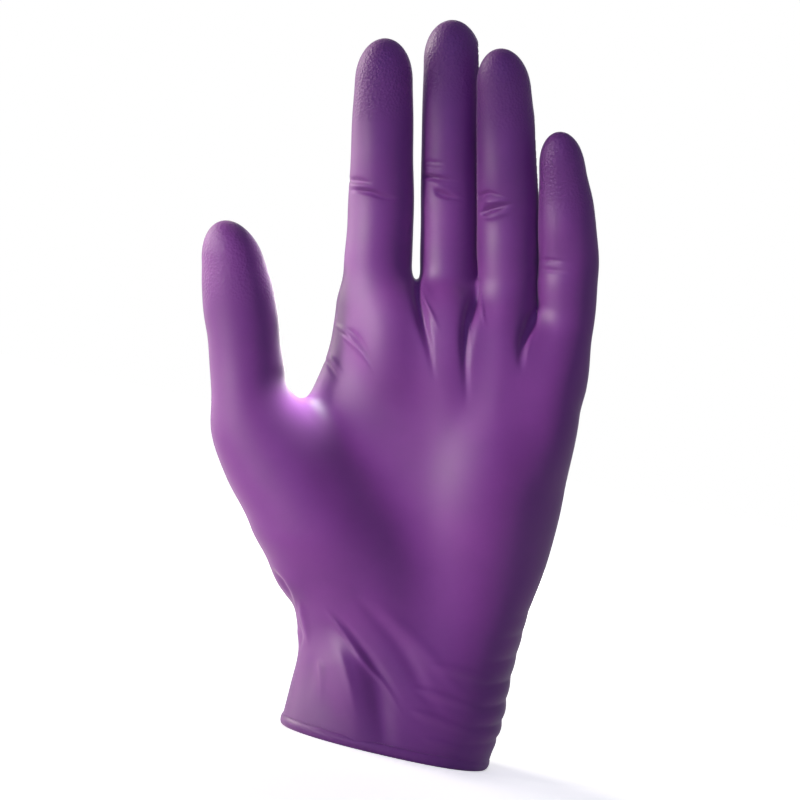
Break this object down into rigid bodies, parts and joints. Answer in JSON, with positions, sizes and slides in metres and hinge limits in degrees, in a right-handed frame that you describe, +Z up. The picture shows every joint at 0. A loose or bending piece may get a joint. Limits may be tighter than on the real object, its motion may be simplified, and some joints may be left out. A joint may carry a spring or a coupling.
{
  "type": "disposable examination glove",
  "caption": "Left-hand disposable nitrile glove in its worn shape: thin violet film with textured fingertips, creases at every joint and a rolled cuff bead.",
  "frame": {"origin": "centre of the cuff's opening, on the surface that the cuff bead stands on", "axes": "+Z up the cuff, +X towards the little finger's side, -Y the way the palm faces"},
  "size_m": [0.1308, 0.0542, 0.2341],
  "materials": {
    "film": "satin",
    "textured_film": "fine texture",
    "bead": "satin"
  },
  "bodies": {
    "cuff": {"cuff_film": "film", "cuff_bead": "bead", "wrist_crease": "film"},
    "palm": {"palm": "film", "back_of_hand": "film", "thumb_base": "film", "finger_crotches": "film", "thumb_root_crease": "film", "index_root_crease": "film", "middle_root_crease": "film", "ring_root_crease": "film", "little_root_crease": "film"},
    "thumb_lower": {"thumb_lower": "film", "thumb_tip_crease": "film"},
    "thumb_tip": {"thumb_tip": "textured_film"},
    "index_lower": {"index_lower": "film", "index_middle_crease": "film"},
    "index_middle": {"index_middle": "film", "index_tip_crease": "film"},
    "index_tip": {"index_tip": "textured_film"},
    "middle_lower": {"middle_lower": "film", "middle_middle_crease": "film"},
    "middle_middle": {"middle_middle": "film", "middle_tip_crease": "film"},
    "middle_tip": {"middle_tip": "textured_film"},
    "ring_lower": {"ring_lower": "film", "ring_middle_crease": "film"},
    "ring_middle": {"ring_middle": "film", "ring_tip_crease": "film"},
    "ring_tip": {"ring_tip": "textured_film"},
    "little_lower": {"little_lower": "film", "little_middle_crease": "film"},
    "little_middle": {"little_middle": "film", "little_tip_crease": "film"},
    "little_tip": {"little_tip": "textured_film"}
  },
  "joints": [
    {"name": "wrist", "type": "hinge", "parent": "cuff", "child": "palm", "pos_m": [0, 0, 0.028], "axis": [1, 0, 0], "range_deg": [-50, 60], "stiffness_Nm_per_rad": 0.02, "deforming": ["wrist_crease"]},
    {"name": "thumb_root", "type": "hinge", "parent": "palm", "child": "thumb_lower", "pos_m": [-0.07059, -0.0134, 0.11171], "axis": [0.6871, 0.6289, 0.3637], "range_deg": [-10, 45], "stiffness_Nm_per_rad": 0.003, "deforming": ["thumb_root_crease"]},
    {"name": "thumb_tip", "type": "hinge", "parent": "thumb_lower", "child": "thumb_tip", "pos_m": [-0.07603, -0.0162, 0.12791], "axis": [0.6939, 0.6313, 0.3463], "range_deg": [-5, 65], "stiffness_Nm_per_rad": 0.001, "deforming": ["thumb_tip_crease"]},
    {"name": "index_root", "type": "hinge", "parent": "palm", "child": "index_lower", "pos_m": [-0.03616, -0.001, 0.15416], "axis": [0.9763, 0, 0.2164], "range_deg": [-20, 60], "stiffness_Nm_per_rad": 0.003, "deforming": ["index_root_crease"]},
    {"name": "index_middle", "type": "hinge", "parent": "index_lower", "child": "index_middle", "pos_m": [-0.03963, -0.00166, 0.17286], "axis": [0.9763, 0, 0.2164], "range_deg": [-5, 80], "stiffness_Nm_per_rad": 0.0015, "deforming": ["index_middle_crease"]},
    {"name": "index_tip", "type": "hinge", "parent": "index_middle", "child": "index_tip", "pos_m": [-0.04472, -0.00394, 0.19836], "axis": [0.9763, 0, 0.2164], "range_deg": [-5, 50], "stiffness_Nm_per_rad": 0.0008, "deforming": ["index_tip_crease"]},
    {"name": "middle_root", "type": "hinge", "parent": "palm", "child": "middle_lower", "pos_m": [-0.01359, -0.0005, 0.15814], "axis": [0.9763, 0, 0.2164], "range_deg": [-20, 60], "stiffness_Nm_per_rad": 0.003, "deforming": ["middle_root_crease"]},
    {"name": "middle_middle", "type": "hinge", "parent": "middle_lower", "child": "middle_middle", "pos_m": [-0.01896, -0.00094, 0.18256], "axis": [0.9763, 0, 0.2164], "range_deg": [-5, 80], "stiffness_Nm_per_rad": 0.0015, "deforming": ["middle_middle_crease"]},
    {"name": "middle_tip", "type": "hinge", "parent": "middle_middle", "child": "middle_tip", "pos_m": [-0.0245, -0.00275, 0.20796], "axis": [0.9763, 0, 0.2164], "range_deg": [-5, 50], "stiffness_Nm_per_rad": 0.0008, "deforming": ["middle_tip_crease"]},
    {"name": "ring_root", "type": "hinge", "parent": "palm", "child": "ring_lower", "pos_m": [0.0069, -0.0025, 0.15582], "axis": [0.9763, 0, 0.2164], "range_deg": [-20, 60], "stiffness_Nm_per_rad": 0.003, "deforming": ["ring_root_crease"]},
    {"name": "ring_middle", "type": "hinge", "parent": "ring_lower", "child": "ring_middle", "pos_m": [0.00227, -0.00437, 0.17672], "axis": [0.9763, 0, 0.2164], "range_deg": [-5, 80], "stiffness_Nm_per_rad": 0.0015, "deforming": ["ring_middle_crease"]},
    {"name": "ring_tip", "type": "hinge", "parent": "ring_middle", "child": "ring_tip", "pos_m": [-0.00383, -0.00866, 0.20312], "axis": [0.9763, 0, 0.2164], "range_deg": [-5, 50], "stiffness_Nm_per_rad": 0.0008, "deforming": ["ring_tip_crease"]},
    {"name": "little_root", "type": "hinge", "parent": "palm", "child": "little_lower", "pos_m": [0.02774, -0.0045, 0.15143], "axis": [0.9763, 0, 0.2164], "range_deg": [-20, 60], "stiffness_Nm_per_rad": 0.003, "deforming": ["little_root_crease"]},
    {"name": "little_middle", "type": "hinge", "parent": "little_lower", "child": "little_middle", "pos_m": [0.02437, -0.00634, 0.16605], "axis": [0.9763, 0, 0.2164], "range_deg": [-5, 80], "stiffness_Nm_per_rad": 0.0015, "deforming": ["little_middle_crease"]},
    {"name": "little_tip", "type": "hinge", "parent": "little_middle", "child": "little_tip", "pos_m": [0.01981, -0.01013, 0.18501], "axis": [0.9763, 0, 0.2164], "range_deg": [-5, 50], "stiffness_Nm_per_rad": 0.0008, "deforming": ["little_tip_crease"]}
  ]
}
